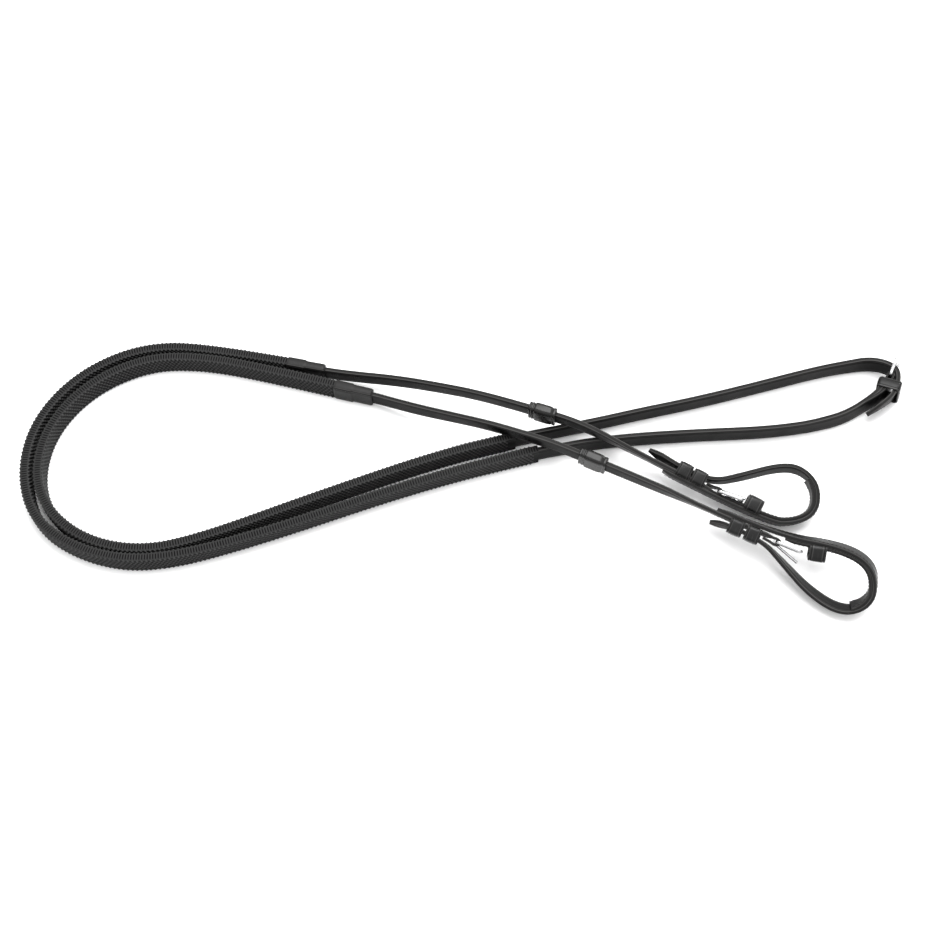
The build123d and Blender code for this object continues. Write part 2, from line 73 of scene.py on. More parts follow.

# %% [markdown]
# ## A strap's middle line
# A strap is a long flexible thing, so it gets one smooth line. A NURBS curve of order 3 turns a few
# given points into such a line. A second curve, lifted 10 mm towards the strap's upper edge, says
# at every sample which way the strap's width faces. So a strap can lean and twist smoothly.
# A curve's own tilt could do that too, but it is harder to aim at a tilted buckle.

# %% Smooth lines from a few points
SAMPLES_PER_KNOT = 40
LIFT = 10 * MM  # from the middle line to the second curve


def leaned_up(forward, lean):
    """The way a strap's width faces: upright, then leaned about the way it runs."""
    left = Vector((-forward.y, forward.x, 0)).normalized()
    upright = forward.cross(left)
    return upright * cos(radians(lean)) - left * sin(radians(lean))


def spline_samples(points):
    curve = bpy.data.curves.new("route", "CURVE")
    curve.dimensions = "3D"
    curve.resolution_u = SAMPLES_PER_KNOT
    spline = curve.splines.new("NURBS")
    spline.points.add(len(points) - 1)
    for knot, point in zip(spline.points, points):
        knot.co = (*point, 1)
    spline.order_u = 3
    spline.use_endpoint_u = True
    holder = bpy.data.objects.new("route", curve)
    mesh = bpy.data.meshes.new_from_object(holder)
    samples = [vert.co.copy() for vert in mesh.vertices]
    bpy.data.objects.remove(holder)
    bpy.data.curves.remove(curve)
    bpy.data.meshes.remove(mesh)
    return samples


class StrapLine:
    """A strap's middle line and the way its width faces, read by the distance along it."""

    def __init__(self, knots):
        self.points = spline_samples([point for point, _ in knots])
        lifted = spline_samples([point + up * LIFT for point, up in knots])
        self.ups = [(b - a).normalized() for a, b in zip(self.points, lifted)]
        self.distances = [0.0]
        for a, b in zip(self.points, self.points[1:]):
            self.distances.append(self.distances[-1] + (b - a).length)
        last = len(self.points) - 1
        self.forwards = [(self.points[min(i + 1, last)] - self.points[max(i - 1, 0)]).normalized()
                         for i in range(last + 1)]
        self.length = self.distances[-1]

    def station(self, distance):
        """A matrix whose columns are: width up, thickness to the left, forward, and the place."""
        i = min(max(bisect_right(self.distances, distance) - 1, 0), len(self.points) - 2)
        share = (distance - self.distances[i]) / (self.distances[i + 1] - self.distances[i])
        point = self.points[i].lerp(self.points[i + 1], share)
        forward = self.forwards[i].lerp(self.forwards[i + 1], share).normalized()
        up = self.ups[i].lerp(self.ups[i + 1], share)
        left = up.cross(forward).normalized()
        return frame_matrix(forward.cross(left), left, forward, point)

    def stations(self, start, end, step):
        count = max(2, round((end - start) / step))
        places = [start + (end - start) * i / count for i in range(count + 1)]
        return [(place, self.station(place)) for place in places]

    def nearest(self, point):
        i = min(range(len(self.points)), key=lambda k: (self.points[k] - point).length)
        return self.distances[i]


def frame_matrix(first, second, third, origin):
    matrix = Matrix((first, second, third)).transposed().to_4x4()
    matrix.translation = origin
    return matrix


# %% [markdown]
# ## Planes of the buckled ends
# Each bit end, and the buckle that joins the hand straps, lies in a tilted plane of its own. Points
# there are given as x along the strap and y across it, which is much easier than in three axes.

# %% Planes and points
def in_metres(x, y, z):
    return (Vector((x, y, z)) + LAYOUT_SHIFT) * MM


def strap_plane(origin, heading, drop, lean, side):
    heading, drop = radians(heading), radians(drop)
    forward = Vector((cos(heading) * cos(drop), sin(heading) * cos(drop), -sin(drop)))
    normal = leaned_up(forward, lean) * side
    return frame_matrix(forward, normal.cross(forward), normal, in_metres(*origin))


def on_plane(plane, x, y, z=0.0):
    return plane @ Vector((x * MM, y * MM, z * MM))


def normal_of(plane):
    return plane.col[2].to_3d()


NEAR_PLANE = strap_plane((127, 6, 18.6), -27.5, 6, 20, 1)
OFF_PLANE = strap_plane((169, -39, 21.9), -26, 2, 24, -1)
JOIN_PLANE = strap_plane((329.1, 75.2, 11.8), 66, 0, -9, 1)
for plane in (NEAR_PLANE, OFF_PLANE, JOIN_PLANE):
    print("plane at:", [round(v, 4) for v in plane.translation])

# %% [markdown]
# ## The two hand straps and grips
# One line runs from the end cover, through the whole grip and on to the centre buckle. The grip is
# later wrapped round the first part of the same line, so the strap and its sleeve can't part.

# %% Lines of the hand straps
Z_UP = Vector((0, 0, 1))
GRIP_MIDDLE = 9.0
NEAR_GRIP_ROUTE = [(-131, 86.9), (-210, 103.5), (-262, 103.5), (-308, 79), (-337, 38), (-342, -8),
                   (-326, -50), (-284, -75), (-236, -81), (-165, -61.2), (-40, -13.7), (50, 12)]
OFF_GRIP_ROUTE = [(-93, 65.4), (-168, 85), (-216, 94.5), (-258, 93.5), (-300, 71), (-326, 35),
                  (-332, -5), (-320, -38), (-288, -64), (-245, -73), (-200, -62), (-125, -31),
                  (-30, 6), (33, 23.5)]
# Free stretches: x, y, height of the strap's middle, lean.
NEAR_HAND = [(67, 15.2, 9, 0), (83, 18.6, 9, 0), (98, 21, 9, 0), (130, 24.8, 9, 0),
             (176, 27.9, 9, 0), (222, 30, 9, 0), (254, 34, 9, 0), (272, 38.2, 9, -3),
             (287, 42.8, 9, -6)]
OFF_HAND = [(68, 31.5, 9, 0), (99, 38.6, 9, 0), (130, 46.5, 9, 0), (162, 53.8, 9, 0),
            (194, 62, 9, 0), (226, 71, 9, 0), (258, 80.3, 9, 0), (278, 85.6, 9, 0),
            (295, 89.2, 9, 0)]
NEAR_END = [(-34, 15.6), (-15, 4.5)]
NEAR_FOLD = [(-2.4, 3.35), (2.35, 3.35), (2.35, -1.35), (-2.4, -1.35)]
NEAR_RETURN = [(-6, 0.3), (-16.2, 1.5), (-29.9, 12.6)]
OFF_END = [(9.5, 22), (11.5, 9), (8.5, -2), (-1, -6.0), (-12, -5.8), (-22, -1.5), (-36, 8)]
# Degrees that a strap leans to the right, by the knot's number.
NEAR_GRIP_LEAN = {9: 7, 10: 6}
OFF_TAIL_LEAN = {4: -6, 5: -18, 6: -22}


def knots_at(stations):
    """Knots for a free stretch. Each faces along the way from the one before to the one after."""
    places = [in_metres(*station[:3]) for station in stations]
    knots = []
    for i, station in enumerate(stations):
        forward = places[min(i + 1, len(places) - 1)] - places[max(i - 1, 0)]
        knots.append((places[i], leaned_up(forward.normalized(), station[3])))
    return knots


def knots_on(plane, route, turned=1):
    return [(on_plane(plane, *point), normal_of(plane) * turned) for point in route]


def leaned(knots, leans):
    """The same knots, some of them leaned further to the right of the way the strap runs."""
    knots = list(knots)
    for i, lean in leans.items():
        along = knots[min(i + 1, len(knots) - 1)][0] - knots[max(i - 1, 0)][0]
        turn = Matrix.Rotation(radians(lean), 3, along.normalized())
        knots[i] = (knots[i][0], turn @ knots[i][1])
    return knots


def knots_upright(route):
    return [(in_metres(x, y, GRIP_MIDDLE), Z_UP) for x, y in route]


near_hand_line = StrapLine(leaned(knots_upright(NEAR_GRIP_ROUTE), NEAR_GRIP_LEAN)
                           + knots_at(NEAR_HAND)
                           + knots_on(JOIN_PLANE, NEAR_END + NEAR_FOLD + NEAR_RETURN))
off_hand_line = StrapLine(knots_upright(OFF_GRIP_ROUTE) + knots_at(OFF_HAND)
                          + leaned(knots_on(JOIN_PLANE, OFF_END), OFF_TAIL_LEAN))
print("hand strap lines:", round(near_hand_line.length, 3), round(off_hand_line.length, 3), "m")

# %% [markdown]
# ## Front straps and billets
# A front strap climbs over the hand straps, then folds back round the bar of its buckle. A billet
# is sewn under it, makes the loop that holds the bit, and its tip comes back through the keepers.

# %% Lines of the front straps and billets
NEAR_FRONT = [(-131, 86.9, 9, 0), (-116, 83.8, 9, 0), (-92, 79.6, 10, 0), (-60, 74, 13.5, 0),
              (-28, 65.6, 18, 3), (8, 54, 24.2, 4), (66, 33.4, 26.3, 3), (82, 27, 26.1, 5),
              (97, 20.2, 24.6, 9), (112, 13.2, 21.6, 16)]
OFF_FRONT = [(-93, 65.4, 9, 0), (-78, 61.5, 9, 0), (-60, 54.6, 11.2, 0), (-40, 46.8, 14.5, 0),
             (-10, 36, 20.5, 4), (6, 30.2, 23.6, 4), (22, 24.6, 25.2, 3), (55, 13.2, 25.2, 3),
             (72, 6.2, 24.9, 3), (140, -25, 23, 6), (155, -32, 22.3, 16)]
BILLET_LAYER = -3.45  # y of the billet where it is sewn under the front strap
NEAR_BILLET = [(21, BILLET_LAYER), (108, BILLET_LAYER), (128.5, 7.5), (137, 22), (129, 39.5),
               (112, 45), (97, 39), (75, 19), (58.5, 6), (30, 4.3), (5, 6.4)]
OFF_BILLET = [(13, BILLET_LAYER), (60, BILLET_LAYER), (106, -16), (131, -13), (141.5, 5),
              (137, 20), (122, 28.5), (97, 24.5), (70, 12.5), (54, 5.6), (26, 4.3), (11.5, 8)]
NEAR_BAR, OFF_BAR = 65.5, 62.0
BAR_Y = 1.5
# Degrees that a billet leans beyond its plane, knot by knot. Most of the near loop stands more
# upright (below 0), and the off loop has flopped over (above 0).
NEAR_LOOP_LEAN = [0, 0, 2, 2, -4, -14, -22, -22, -8, -5, -20]
OFF_LOOP_LEAN = [0, 9, 23, 26, 26, 28, 32, 30, 16, 4, 0, -26]


def fold_route(bar):
    """Along the strap, round the bar, and a short way back."""
    return [(0, 0), (bar - 14, 0), (bar - 5, -0.4), (bar + 2.35, BAR_Y - 2.35),
            (bar + 2.35, BAR_Y + 2.35), (bar - 2.4, BAR_Y + 2.35), (bar - 5.5, 2.9),
            (bar - 10.5, 2.75)]


def leaning_knots(plane, route, leans):
    """Knots whose strap leans further about the plane's own x than the plane does."""
    axis = plane.col[0].to_3d()
    return [(point, Matrix.Rotation(radians(lean), 3, axis) @ up)
            for (point, up), lean in zip(knots_on(plane, route), leans)]


near_front_line = StrapLine(knots_at(NEAR_FRONT) + knots_on(NEAR_PLANE, fold_route(NEAR_BAR)))
off_front_line = StrapLine(knots_at(OFF_FRONT) + knots_on(OFF_PLANE, fold_route(OFF_BAR), -1))
near_billet_line = StrapLine(leaning_knots(NEAR_PLANE, NEAR_BILLET, NEAR_LOOP_LEAN))
off_billet_line = StrapLine(leaning_knots(OFF_PLANE, OFF_BILLET, OFF_LOOP_LEAN))
print("front straps:", round(near_front_line.length, 3), round(off_front_line.length, 3),
      "billets:", round(near_billet_line.length, 3), round(off_billet_line.length, 3), "m")

# %% [markdown]
# ## Wrapping an outline along a line
# A strap could be a curve with a bevel object, but then its thickness can't change on the way. So a
# flat grid is bent instead: its rows follow the line's stations and its columns go once round the
# strap's outline. Each point also keeps a "strap" attribute: distance along, across the width, and
# through the thickness. The materials use it to follow the strap round every bend.

# %% Outlines and the wrapping tool
def mirrored(quarter):
    """A whole outline from a quarter that runs from the face's middle to the edge's middle."""
    half = quarter + [(w, -t) for w, t in reversed(quarter)][1:]
    return half + [(-w, t) for w, t in reversed(half)][1:-1]


def strap_outline(width, thickness, crease_in=1.7, crease=0.28, rounding=0.9):
    """A leather strap's outline, with a crease line pressed along each edge of both faces."""
    w, t, c = width / 2, thickness / 2, crease_in
    quarter = [(0, t), (w * 0.5, t + 0.03), (w - c - 0.4, t), (w - c, t - crease), (w - c + 0.4, t),
               (w - rounding, t - 0.05), (w - 0.3 * rounding, t - 0.35 * rounding),
               (w, t - rounding), (w + 0.05, 0)]
    return [(x * MM, y * MM) for x, y in mirrored(quarter)]


def wrap(made, stations, outline, closed=False, shape=None):
    """Bends a grid into a strap along the stations, and gives every point its strap place."""
    strap = made.verts.layers.float_vector.get("strap") or made.verts.layers.float_vector.new(
        "strap")
    rows = len(stations) if closed else len(stations) - 1
    columns = len(outline)
    grid = bmesh.ops.create_grid(made, x_segments=rows, y_segments=columns, size=0.5)
    for vert in grid["verts"]:
        row = round((vert.co.x + 0.5) * rows) % len(stations)
        column = round((vert.co.y + 0.5) * columns) % columns
        distance, station = stations[row]
        w, t = outline[column]
        vert[strap] = (distance, w, t)
        if shape:
            w, t = shape(distance, w, t)
        vert.co = station @ Vector((w, t, 0))
    bmesh.ops.remove_doubles(made, verts=grid["verts"], dist=1e-7)
    if not closed:
        border = [edge for edge in made.edges if edge.is_boundary]
        bmesh.ops.holes_fill(made, edges=border, sides=0)
    bmesh.ops.recalc_face_normals(made, faces=made.faces)


def mesh_object(made, name):
    """Turns a bmesh into an object in the scene."""
    mesh = bpy.data.meshes.new(name)
    made.to_mesh(mesh)
    made.free()
    new = bpy.data.objects.new(name, mesh)
    bpy.context.scene.collection.objects.link(new)
    return new


def finished(made, name, material, body, replaces=(), sharp=40):
    """Turns a bmesh into a piece that rides on a CAD body."""
    piece = mesh_object(made, name)
    mesh = piece.data
    mesh.materials.append(material)
    mesh.shade_smooth()
    mesh.set_sharp_from_angle(angle=radians(sharp))
    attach(piece, body)
    if replaces:
        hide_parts(*replaces)
    print(f"{name}: {len(mesh.polygons)} faces")
    return piece


def cut_away(piece, cutter):
    """Cuts one mesh out of a piece, and removes the cutting shape."""
    tool = mesh_object(cutter, "cutter")
    boolean = piece.modifiers.new("cut", "BOOLEAN")
    boolean.object, boolean.operation, boolean.solver = tool, "DIFFERENCE", "EXACT"
    graph = bpy.context.evaluated_depsgraph_get()
    cut = bpy.data.meshes.new_from_object(piece.evaluated_get(graph), depsgraph=graph)
    piece.modifiers.clear()
    before = len(piece.data.polygons)
    piece.data = cut
    cut.set_sharp_from_angle(angle=radians(40))
    bpy.data.objects.remove(tool)
    print(f"{piece.name}: cut, {before} -> {len(cut.polygons)} faces")


# %% [markdown]
# ## Leather
# Bridle leather is dyed black and waxed: the colour is nearly even, and what shows is the sheen.
# So the work is in the roughness and the bump, with a few marks in the colour: a fine pore grain,
# slow cloudy changes where it has been handled, faint scuffs that run along the strap, and edges a
# little greyer, partly from wear and partly a painted highlight. An image texture could hold these,
# but nodes stay sharp at any distance.

# %% Material helpers
def new_material(name):
    material = bpy.data.materials.new(name)
    material.use_nodes = True
    tree = material.node_tree
    return material, tree, tree.nodes["Principled BSDF"]


def add_node(tree, kind, inputs=(), **settings):
    node = tree.nodes.new(kind)
    for setting, value in settings.items():
        setattr(node, setting, value)
    for socket, value in dict(inputs).items():
        if isinstance(value, bpy.types.NodeSocket):
            tree.links.new(value, node.inputs[socket])
        else:
            node.inputs[socket].default_value = value
    return node


def math_node(tree, operation, first, second=0.0):
    return add_node(tree, "ShaderNodeMath", {0: first, 1: second},
                    operation=operation).outputs[0]


def ramp(tree, value, low, high, out_low=0.0, out_high=1.0):
    """Maps a value smoothly from one range to another."""
    node = add_node(tree, "ShaderNodeMapRange", {"Value": value, "From Min": low, "From Max": high,
                                                 "To Min": out_low, "To Max": out_high},
                    interpolation_type="SMOOTHSTEP")
    return node.outputs["Result"]


def blend_colour(tree, factor, first, second):
    node = add_node(tree, "ShaderNodeMix", {0: factor}, data_type="RGBA")
    for socket, value in ((6, first), (7, second)):
        if isinstance(value, bpy.types.NodeSocket):
            tree.links.new(value, node.inputs[socket])
        else:
            node.inputs[socket].default_value = (*value, 1)
    return node.outputs[2]


def noise(tree, vector, scale, detail=3.0, roughness=0.5):
    node = add_node(tree, "ShaderNodeTexNoise", {"Vector": vector, "Scale": scale,
                                                 "Detail": detail, "Roughness": roughness})
    return node.outputs["Fac"]


def bump_stack(tree, shader, layers):
    """Adds height maps one on another. Each is a height socket, a strength and a depth."""
    normal = None
    for height, strength, depth in layers:
        inputs = {"Height": height, "Strength": strength, "Distance": depth}
        if normal:
            inputs["Normal"] = normal
        normal = add_node(tree, "ShaderNodeBump", inputs).outputs["Normal"]
    tree.links.new(normal, shader.inputs["Normal"])


def strap_places(tree):
    """Distance along, place across the width and through the thickness, from the attribute."""
    read = add_node(tree, "ShaderNodeAttribute", attribute_name="strap",
                    attribute_type="GEOMETRY")
    split = add_node(tree, "ShaderNodeSeparateXYZ", {0: read.outputs["Vector"]})
    return read.outputs["Vector"], split.outputs[0], split.outputs[1], split.outputs[2]


# %% [markdown]
# ## Leather's layers
# The dark base goes on first, then the lighter scuffs, then the lighter edge bands, which are
# partly wear and partly a painted highlight. Last come a painted highlight along the pressed crease
# and a painted highlight on the rim where face and edge meet. Width and thickness say where a
# strap's edges are, so that one material serves every strap, keeper and cover.

# %% Leather material
def leather(name, width, thickness=3.6, shine=0.33, mirror=0.05):
    material, tree, shader = new_material(name)
    spot = add_node(tree, "ShaderNodeTexCoord").outputs["Object"]
    strap, _, across, through = strap_places(tree)
    clouds = noise(tree, spot, 60, 3)
    pores = add_node(tree, "ShaderNodeTexVoronoi", {"Vector": spot, "Scale": 1300.0},
                     feature="F1").outputs["Distance"]
    fine = noise(tree, spot, 2600, 2)
    stretched = add_node(tree, "ShaderNodeVectorMath", {0: strap, 1: (55.0, 700.0, 700.0)},
                         operation="MULTIPLY").outputs[0]
    scuffs = ramp(tree, noise(tree, stretched, 1.0, 4, 0.6), 0.60, 0.78)
    from_middle = math_node(tree, "ABSOLUTE", across)
    edge_wear_and_highlight = ramp(tree, from_middle, (width / 2 - 0.9) * MM, (width / 2 - 0.3) * MM)
    from_crease = math_node(tree, "ABSOLUTE", math_node(tree, "SUBTRACT", from_middle,
                                                        (width / 2 - 1.9) * MM))
    crease = ramp(tree, from_crease, 0.15 * MM, 0.45 * MM, 1.0, 0.0)
    rim_highlight = math_node(tree, "MULTIPLY", edge_wear_and_highlight, ramp(tree, math_node(tree, "ABSOLUTE", through),
                                                   (thickness / 2 - 1.1) * MM,
                                                   (thickness / 2 - 0.5) * MM))
    colour = blend_colour(tree, clouds, (0.0022, 0.0022, 0.0023), (0.0055, 0.0054, 0.0053))
    colour = blend_colour(tree, math_node(tree, "MULTIPLY", scuffs, 0.35), colour,
                          (0.040, 0.039, 0.038))
    # Lighter edge bands: partly edge wear, partly a painted highlight on the strap's edges.
    colour = blend_colour(tree, math_node(tree, "MULTIPLY", edge_wear_and_highlight, 0.8), colour,
                          (0.0175, 0.0172, 0.017))
    # A painted highlight along each pressed crease line.
    colour = blend_colour(tree, math_node(tree, "MULTIPLY", crease, 0.5), colour,
                          (0.055, 0.054, 0.053))
    # A painted highlight, a thin glint, on the rim where face and edge meet.
    colour = blend_colour(tree, math_node(tree, "MULTIPLY", rim_highlight, 0.7), colour,
                          (0.075, 0.0735, 0.072))
    tree.links.new(colour, shader.inputs["Base Color"])
    gloss = ramp(tree, clouds, 0.3, 0.7, shine - 0.05, shine + 0.09)
    gloss = math_node(tree, "ADD", gloss, math_node(tree, "MULTIPLY", scuffs, 0.16))
    tree.links.new(gloss, shader.inputs["Roughness"])
    shader.inputs["Specular IOR Level"].default_value = mirror
    bump_stack(tree, shader, [(clouds, 0.25, 0.0006), (pores, 0.35, 0.00012), (fine, 0.25, 0.00006),
                              (scuffs, 0.2, 0.00008)])
    return material


hand_leather = leather("hand_strap_leather", 16.0)
front_leather = leather("front_strap_leather", 12.7, shine=0.30)
keeper_leather = leather("keeper_leather", 11.0, shine=0.27, mirror=0.25)
cover_leather = leather("end_cover_leather", 18.0, 8.4, mirror=0.12)
print("leather materials made")

# %% [markdown]
# ## Rubber and steel
# The grips are matt moulded rubber. Their colour holds a painted highlight on the pips and on the
# ribbed edges, and painted shade in the grooves between the ribs. The rein stops are a harder,
# glossier rubber. The buckles are polished stainless steel with faint drawn lines.

# %% Rubber and steel materials
RIB_PITCH, RIB_HEIGHT = 2.0 * MM, 0.5 * MM  # ribs along the edges of a grip


def grip_rubber():
    material, tree, shader = new_material("grip_rubber")
    spot = add_node(tree, "ShaderNodeTexCoord").outputs["Object"]
    _, along, across, through = strap_places(tree)
    dust = noise(tree, spot, 140, 4, 0.6)
    grain = noise(tree, spot, 3200, 2)
    from_side = math_node(tree, "ABSOLUTE", through)
    pip_top_highlight = ramp(tree, from_side, 3.55 * MM, 3.85 * MM)
    edge = ramp(tree, math_node(tree, "ABSOLUTE", across), 8.1 * MM, 8.5 * MM)
    wave = math_node(tree, "COSINE", math_node(tree, "MULTIPLY", along, 2 * pi / RIB_PITCH))
    rib_groove_shade = math_node(tree, "MULTIPLY", ramp(tree, wave, -0.3, 0.5),
                       ramp(tree, from_side, 1.6 * MM, 2.4 * MM, 1.0, 0.0))
    colour = blend_colour(tree, dust, (0.0025, 0.0025, 0.0026), (0.0055, 0.0055, 0.0055))
    # A painted highlight on the ribbed edges.
    colour = blend_colour(tree, edge, colour, (0.026, 0.026, 0.026))
    # Painted shade in the grooves between the ribs.
    colour = blend_colour(tree, math_node(tree, "MULTIPLY", rib_groove_shade, edge), colour,
                          (0.0012, 0.0012, 0.0012))
    # A painted highlight on the raised pips.
    colour = blend_colour(tree, pip_top_highlight, colour, (0.048, 0.048, 0.048))
    tree.links.new(colour, shader.inputs["Base Color"])
    tree.links.new(ramp(tree, dust, 0.3, 0.7, 0.48, 0.62), shader.inputs["Roughness"])
    shader.inputs["Specular IOR Level"].default_value = 0.06
    bump_stack(tree, shader, [(dust, 0.2, 0.0004), (grain, 0.3, 0.00005)])
    return material


def stop_rubber():
    material, tree, shader = new_material("stop_rubber")
    spot = add_node(tree, "ShaderNodeTexCoord").outputs["Object"]
    flow = noise(tree, spot, 220, 3)
    colour = blend_colour(tree, flow, (0.003, 0.003, 0.0029), (0.012, 0.0115, 0.011))
    tree.links.new(colour, shader.inputs["Base Color"])
    tree.links.new(ramp(tree, flow, 0.3, 0.7, 0.16, 0.30), shader.inputs["Roughness"])
    shader.inputs["Specular IOR Level"].default_value = 0.25
    bump_stack(tree, shader, [(flow, 0.3, 0.0004)])
    return material


def polished_steel():
    material, tree, shader = new_material("buckle_steel")
    spot = add_node(tree, "ShaderNodeTexCoord").outputs["Object"]
    drawn = add_node(tree, "ShaderNodeVectorMath", {0: spot, 1: (150.0, 900.0, 900.0)},
                     operation="MULTIPLY").outputs[0]
    lines = noise(tree, drawn, 1.0, 3)
    haze = noise(tree, spot, 400, 2)
    tree.links.new(blend_colour(tree, haze, (0.42, 0.42, 0.43), (0.62, 0.62, 0.62)),
                   shader.inputs["Base Color"])
    tree.links.new(ramp(tree, lines, 0.3, 0.7, 0.12, 0.26), shader.inputs["Roughness"])
    shader.inputs["Metallic"].default_value = 1.0
    bump_stack(tree, shader, [(lines, 0.06, 0.00002)])
    return material


def waxed_thread():
    material, tree, shader = new_material("waxed_thread")
    spot = add_node(tree, "ShaderNodeTexCoord").outputs["Object"]
    twist = noise(tree, spot, 2200, 2)
    tree.links.new(blend_colour(tree, twist, (0.020, 0.020, 0.020), (0.060, 0.058, 0.056)),
                   shader.inputs["Base Color"])
    shader.inputs["Roughness"].default_value = 0.5
    bump_stack(tree, shader, [(twist, 0.4, 0.00008)])
    return material


grip_material, stop_material = grip_rubber(), stop_rubber()
steel, thread = polished_steel(), waxed_thread()
for node_name, node_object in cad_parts.items():
    if "buckle" in node_name:
        node_object.data.materials.clear()
        node_object.data.materials.append(steel)
print("steel on:", sorted(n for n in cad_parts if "buckle" in n))

# %% [markdown]
# ## Leather straps
# Each strap is wrapped once along its whole line. A shape function thins it where it is skived, so
# that folds and layer ends lie flat, and narrows it to a point at a billet's tip.

# %% Straps
HAND_WIDTH, HAND_THICKNESS = 16.0, 3.6
FRONT_WIDTH, FRONT_THICKNESS = 12.7, 3.6
BILLET_THICKNESS, LINER_THICKNESS = 3.2, 2.8
POINT_LENGTH = 11.0 * MM
HAND_STEP, FRONT_STEP, BILLET_STEP = 2.2 * MM, 1.6 * MM, 1.4 * MM  # between stations
FRONT_CREASE = 1.5  # from the edge to the crease line, on the narrow straps


def eased(value, low, high):
    share = min(max((value - low) / (high - low), 0.0), 1.0)
    return share * share * (3 - 2 * share)


def thinned_fold(start, full_return, fold_share, return_share):
    """Full thickness up to the fold, thin round the bar, then the return's own thickness."""
    def shape(distance, w, t):
        share = 1 - (1 - fold_share) * eased(distance, start, start + 0.006)
        share += (return_share - fold_share) * eased(distance, full_return, full_return + 0.005)
        return w, t * share
    return shape


def blunt_point(length):
    """The end of a strap, cut to a blunt point."""
    def shape(distance, w, t):
        return w * (0.25 + 0.75 * min((length - distance) / POINT_LENGTH, 1.0)), t
    return shape


def skived_and_pointed(length):
    """A billet: its start skived on the right face, and a pointed tip that thins a little."""
    point = blunt_point(length)

    def shape(distance, w, t):
        if t < 0:
            t *= 0.35 + 0.65 * eased(distance, 0, 0.008)
        return point(distance, w, t * (0.75 + 0.25 * eased(length - distance, 0, 0.006)))
    return shape


def strap_piece(node, line, outline, material, step, shape):
    made = bmesh.new()
    wrap(made, line.stations(0.0, line.length, step), outline, shape=shape)
    return finished(made, f"{node}_leather", material, "reins", [node])


hand_outline = strap_outline(HAND_WIDTH, HAND_THICKNESS)
front_outline = strap_outline(FRONT_WIDTH, FRONT_THICKNESS, FRONT_CREASE)
billet_outline = strap_outline(FRONT_WIDTH, BILLET_THICKNESS, FRONT_CREASE)
near_bar_at = near_hand_line.nearest(on_plane(JOIN_PLANE, 2.2, 1.0))
near_hand = strap_piece("near_hand_strap", near_hand_line, hand_outline, hand_leather, HAND_STEP,
                        thinned_fold(near_bar_at - 0.0125, near_bar_at + 0.006, 0.46, 0.62))
off_hand = strap_piece("off_hand_strap", off_hand_line, hand_outline, hand_leather, HAND_STEP,
                       blunt_point(off_hand_line.length))
front_straps, billets = {}, {}
for rein, line, plane, bar in (("near", near_front_line, NEAR_PLANE, NEAR_BAR),
                               ("off", off_front_line, OFF_PLANE, OFF_BAR)):
    bar_at = line.nearest(on_plane(plane, bar + 2.2, BAR_Y))
    front_straps[rein] = strap_piece(f"{rein}_front_strap", line, front_outline, front_leather,
                                     FRONT_STEP,
                                     thinned_fold(bar_at - 0.013, bar_at + 0.006, 0.46, 0.46))
for rein, line in (("near", near_billet_line), ("off", off_billet_line)):
    billets[rein] = strap_piece(f"{rein}_bit_billet", line, billet_outline, front_leather,
                                BILLET_STEP, skived_and_pointed(line.length))

# %% [markdown]
# ## Liners
# A second layer is sewn inside the loop, from the buckle round most of the way, so the loop keeps
# its shape. It follows the billet's line, set inwards by half of both layers, and both its ends are
# skived down to nothing much.

# %% Liners
SEAM = 0.05  # gap between sewn layers
LINER_INSET = (BILLET_THICKNESS / 2 + SEAM + LINER_THICKNESS / 2) * MM
liner_outline = strap_outline(FRONT_WIDTH, LINER_THICKNESS, FRONT_CREASE)


def inset_stations(line, start, end, step, inset):
    """Stations beside a line. The inset is towards the strap's left."""
    return [(distance, station @ Matrix.Translation((0, inset, 0)))
            for distance, station in line.stations(start, end, step)]


def skived_ends(start, end):
    def shape(distance, w, t):
        near_end = min(distance - start, end - distance)
        if t > 0:
            t *= 0.3 + 0.58 * eased(near_end, 0, 0.007)
        return w, t
    return shape


liner_spans = {}
for rein, line, plane, bar, last in (
        ("near", near_billet_line, NEAR_PLANE, NEAR_BAR, (120.5, 42.2)),
        ("off", off_billet_line, OFF_PLANE, OFF_BAR, (129.5, 24.2))):
    start = line.nearest(on_plane(plane, bar + 4.1, BILLET_LAYER))
    end = line.nearest(on_plane(plane, *last))
    liner_spans[rein] = (start, end)
    made = bmesh.new()
    wrap(made, inset_stations(line, start, end, BILLET_STEP, LINER_INSET), liner_outline,
         shape=skived_ends(start, end))
    finished(made, f"{rein}_bit_liner_leather", front_leather, "reins",
             [f"{rein}_bit_liner"])

# %% [markdown]
# ## Punched holes and tongue slots
# A billet has round holes for the tongue, and a fold has a slot where the tongue's ring sits. They
# go right through, so each is cut with a real shape and not drawn as a dark spot.

# %% Holes and slots
HOLE_RADIUS = 1.6 * MM
TONGUE_HOLE_RADIUS = 2.0 * MM
SLOT_RADIUS, SLOT_HALF_HEIGHT = 3.7 * MM, 1.7


def rod(made, start, end, radius, sides=16):
    axis = end - start
    turn = axis.to_track_quat("Z", "Y").to_matrix().to_4x4()
    bmesh.ops.create_cone(made, cap_ends=True, segments=sides, radius1=radius, radius2=radius,
                          depth=axis.length,
                          matrix=Matrix.Translation((start + end) / 2) @ turn)


def punch(made, line, point, radius):
    """A rod through the strap at the place on its line that is nearest to a point."""
    station = line.station(line.nearest(point))
    rod(made, station @ Vector((0, -0.004, 0)), station @ Vector((0, 0.004, 0)), radius)


def slot_at(made, plane, x, y):
    rod(made, on_plane(plane, x, y, -SLOT_HALF_HEIGHT), on_plane(plane, x, y, SLOT_HALF_HEIGHT),
        SLOT_RADIUS, 24)


